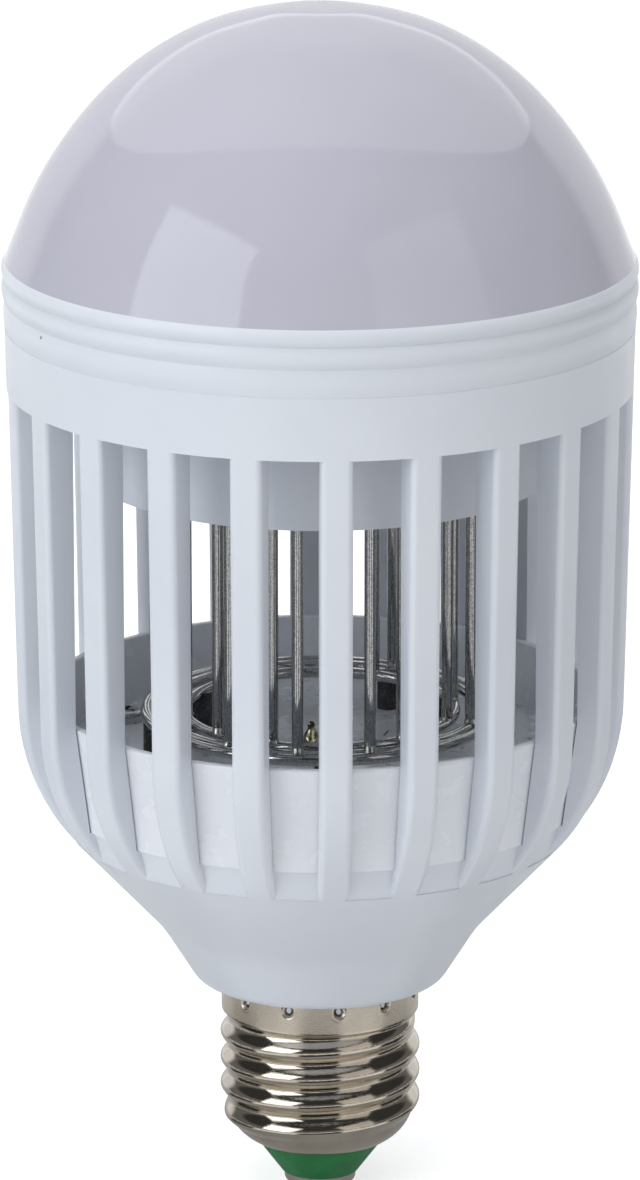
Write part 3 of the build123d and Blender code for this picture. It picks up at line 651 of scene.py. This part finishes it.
def seen_rays(tree):
    """The kinds of ray, and a share of 1 for rays of the camera, of mirrors and through glass."""
    kinds = tree.nodes.new("ShaderNodeLightPath").outputs
    share = reckon(tree, "MAXIMUM", kinds["Is Camera Ray"], kinds["Is Glossy Ray"])
    return kinds, reckon(tree, "MAXIMUM", share, kinds["Is Transmission Ray"])


def add_painted_reflection(tree, surface, glossy):
    """The same surface, but glossy rays near the lamp see a painted reflection of dark and white bands in
    place of it.
    """
    place = tree.nodes.new("ShaderNodeNewGeometry").outputs["Position"]
    split = tree.nodes.new("ShaderNodeSeparateXYZ")
    flat = tree.nodes.new("ShaderNodeVectorMath")
    flat.operation = "MULTIPLY"
    flat.inputs[1].default_value = (1, 1, 0)
    r = tree.nodes.new("ShaderNodeVectorMath")
    r.operation = "LENGTH"
    reflection_glow = tree.nodes.new("ShaderNodeEmission")
    tree.links.new(place, split.inputs[0])
    tree.links.new(place, flat.inputs[0])
    tree.links.new(flat.outputs["Vector"], r.inputs[0])
    turn = reckon(tree, "ARCTAN2", split.outputs["X"], reckon(tree, "MULTIPLY", split.outputs["Y"], -1))
    side = reckon(tree, "DIVIDE", reckon(tree, "ABSOLUTE", turn), math.pi)
    away = reckon(tree, "DIVIDE", r.outputs["Value"], NEAR_R)
    plain = ramp(tree, away, PLAIN_STOPS)
    near = blend(tree, ramp(tree, away, RING_STOPS), plain, ramp(tree, side, REFLECTION_SIDE_STOPS))
    shade = blend(tree, ramp(tree, away, AWAY_STOPS), near, ramp(tree, side, FAR_STOPS))
    tree.links.new(shade, reflection_glow.inputs["Strength"])
    share = reckon(tree, "MULTIPLY", fade(tree, away, 1.0, NEAR_FADE), glossy)
    return choose(tree, share, surface, reflection_glow.outputs[0])


def stage_material(name, colour, with_painted_reflection=False):
    """Pale matt surface that shows near white, also in metal and glass, and can carry a painted reflection
    for glossy rays near the lamp.
    """
    mat = bpy.data.materials.new(name)
    mat.use_nodes = True
    tree = mat.node_tree
    tree.nodes.clear()
    out = tree.nodes.new("ShaderNodeOutputMaterial")
    matt = tree.nodes.new("ShaderNodeBsdfDiffuse")
    matt.inputs["Color"].default_value = (*colour, 1)
    emission = tree.nodes.new("ShaderNodeEmission")
    both = tree.nodes.new("ShaderNodeAddShader")
    kinds, seen = seen_rays(tree)
    tree.links.new(reckon(tree, "MULTIPLY", seen, STAGE_GLOW), emission.inputs["Strength"])
    tree.links.new(matt.outputs[0], both.inputs[0])
    tree.links.new(emission.outputs[0], both.inputs[1])
    surface = both.outputs[0]
    # Painted reflection: dark and white bands in place of the floor, for glossy rays near the lamp
    if with_painted_reflection:
        surface = add_painted_reflection(tree, surface, kinds["Is Glossy Ray"])
    tree.links.new(surface, out.inputs["Surface"])
    return mat


def stage_mesh(name, points, faces, mat):
    mesh = bpy.data.meshes.new(name)
    mesh.from_pydata(points, [], faces)
    mesh.materials.append(mat)
    obj = bpy.data.objects.new(name, mesh)
    bpy.context.scene.collection.objects.link(obj)


def toward(azimuth, elevation, distance):
    """Point seen from the lamp; azimuth 0 is the camera's side, + is to its right."""
    a, e = math.radians(azimuth), math.radians(elevation)
    flat = distance * math.cos(e)
    return Vector((flat * math.sin(a), -flat * math.cos(a), LAMP_MIDDLE_Z + distance * math.sin(e)))


def softbox(name, azimuth, elevation, distance, width, height, radiance, colour=(1, 1, 1)):
    light = bpy.data.lights.new(name, "AREA")
    light.shape = "RECTANGLE"
    light.size = width
    light.size_y = height
    light.energy = radiance * math.pi * width * height
    light.color = colour
    obj = bpy.data.objects.new(name, light)
    bpy.context.scene.collection.objects.link(obj)
    place = toward(azimuth, elevation, distance)
    obj.location = place
    obj.rotation_mode = "QUATERNION"
    obj.rotation_quaternion = (place - Vector((0, 0, LAMP_MIDDLE_Z))).to_track_quat("Z", "Y")
    obj.visible_camera = False
    return obj


# Floor and backdrop

pale = stage_material("stage_pale", BACKDROP_COLOUR)
ground_pale = stage_material("floor_pale", FLOOR_COLOUR, with_painted_reflection=True)
ring = [(*polar(FLOOR_R, 360 * i / FLOOR_SIDES), 0) for i in range(FLOOR_SIDES)]
stage_mesh("floor", ring, [tuple(range(FLOOR_SIDES))], ground_pale)

wall = [(*polar(WALL_R, a), z) for a in WALL_ANGLES for z in (0, WALL_TOP)]
bays = [(2 * i, 2 * i + 2, 2 * i + 3, 2 * i + 1) for i in range(len(wall) // 2 - 1)]
stage_mesh("backdrop", wall, bays, pale)


# Lights

softbox("key_left", -52, 22, 1.0, 0.70, 0.80, 2.4, (0.95, 0.98, 1.0))
softbox("fill_right", 43.5, 24, 1.0, 0.70, 0.80, 0.62, (1.0, 0.97, 0.93))
softbox("top", 0, 84, 1.1, 1.1, 1.1, 1.75).visible_glossy = False

# The ceiling only shows in reflections, as a level panel that reaches back
ceiling = softbox("ceiling", 0, 90, 1.2, 3.8, 5.1, 0.75)
ceiling.data.shape = "ELLIPSE"
ceiling.location = CEILING_PLACE
ceiling.rotation_quaternion = CEILING_TURN
ceiling.visible_diffuse = False


# Room: a soft light from all sides, white to the camera, and dark in mirrors above and in front

world = bpy.data.worlds.new("studio")
bpy.context.scene.world = world
world.use_nodes = True
tree = world.node_tree
tree.nodes.clear()
out = tree.nodes.new("ShaderNodeOutputWorld")
room = tree.nodes.new("ShaderNodeBackground")
room.inputs["Color"].default_value = (*ROOM_COLOUR, 1)
room.inputs["Strength"].default_value = ROOM_STRENGTH
seen_room = tree.nodes.new("ShaderNodeBackground")
coords = tree.nodes.new("ShaderNodeTexCoord")
split = tree.nodes.new("ShaderNodeSeparateXYZ")
tree.links.new(coords.outputs["Generated"], split.inputs[0])
kinds, seen = seen_rays(tree)
height = fade(tree, split.outputs["Z"], 0.36, 0.42, 1.0, 0.25)
behind = fade(tree, split.outputs["Y"], 0.60, 0.68, 0.22, 1.0)
mirrored = reckon(tree, "MULTIPLY", height, behind)
shown = reckon(tree, "MAXIMUM", mirrored, kinds["Is Camera Ray"])
tree.links.new(shown, seen_room.inputs["Strength"])
tree.links.new(choose(tree, seen, room.outputs[0], seen_room.outputs[0]), out.inputs["Surface"])


# Camera

camera_data = bpy.data.cameras.new("camera")
camera_data.lens = CAMERA_LENS
camera_data.sensor_width = CAMERA_SENSOR
camera_data.clip_start, camera_data.clip_end = CAMERA_CLIP
camera = bpy.data.objects.new("camera", camera_data)
bpy.context.scene.collection.objects.link(camera)
camera.location = CAMERA_PLACE
camera.rotation_euler = (math.radians(CAMERA_PITCH), 0, 0)
bpy.context.scene.camera = camera
bpy.context.scene.view_settings.view_transform = "Standard"
